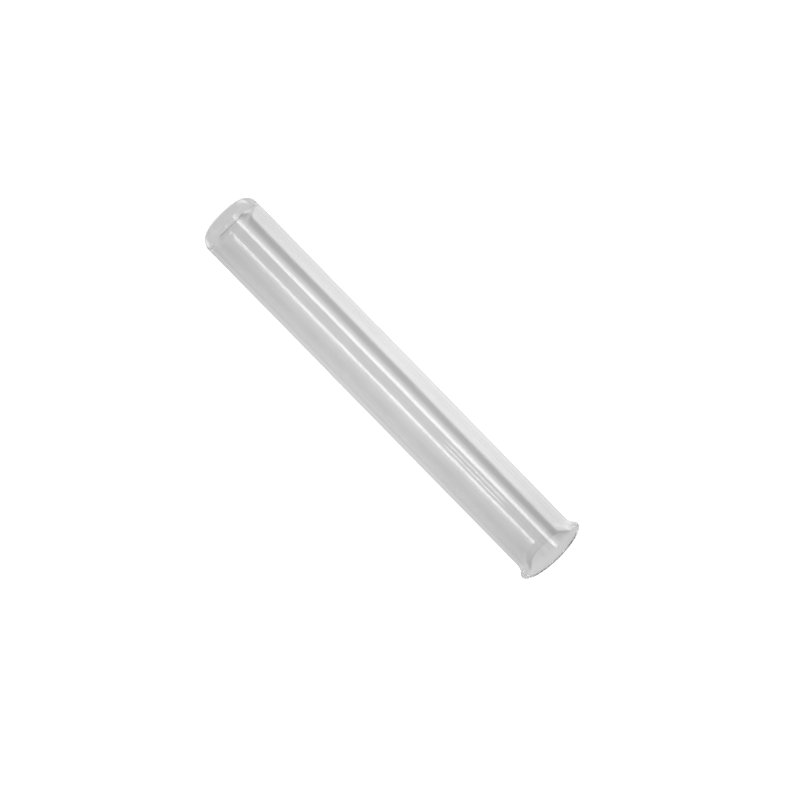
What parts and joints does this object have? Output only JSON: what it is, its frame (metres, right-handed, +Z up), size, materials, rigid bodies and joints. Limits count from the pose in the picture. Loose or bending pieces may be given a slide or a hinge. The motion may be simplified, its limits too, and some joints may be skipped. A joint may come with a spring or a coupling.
{
  "type": "rain gauge tube",
  "caption": "Clear glass tube of a manual rain gauge, closed and flat at the foot, with a flared lip round its open mouth.",
  "frame": {"origin": "centre of the flat foot, on the face the tube stands on", "axes": "+Z up along the tube's axis, from the closed foot to the open mouth; the tube is round, so +X and +Y are any two square directions across it"},
  "size_m": [0.0296, 0.0296, 0.1754],
  "materials": {
    "clear_glass": "clear drawn soda-lime glass, polished, with faint lengthwise draw lines and a fire-polished lip"
  },
  "bodies": {
    "root": {"glass_tube": "clear_glass"}
  },
  "joints": []
}
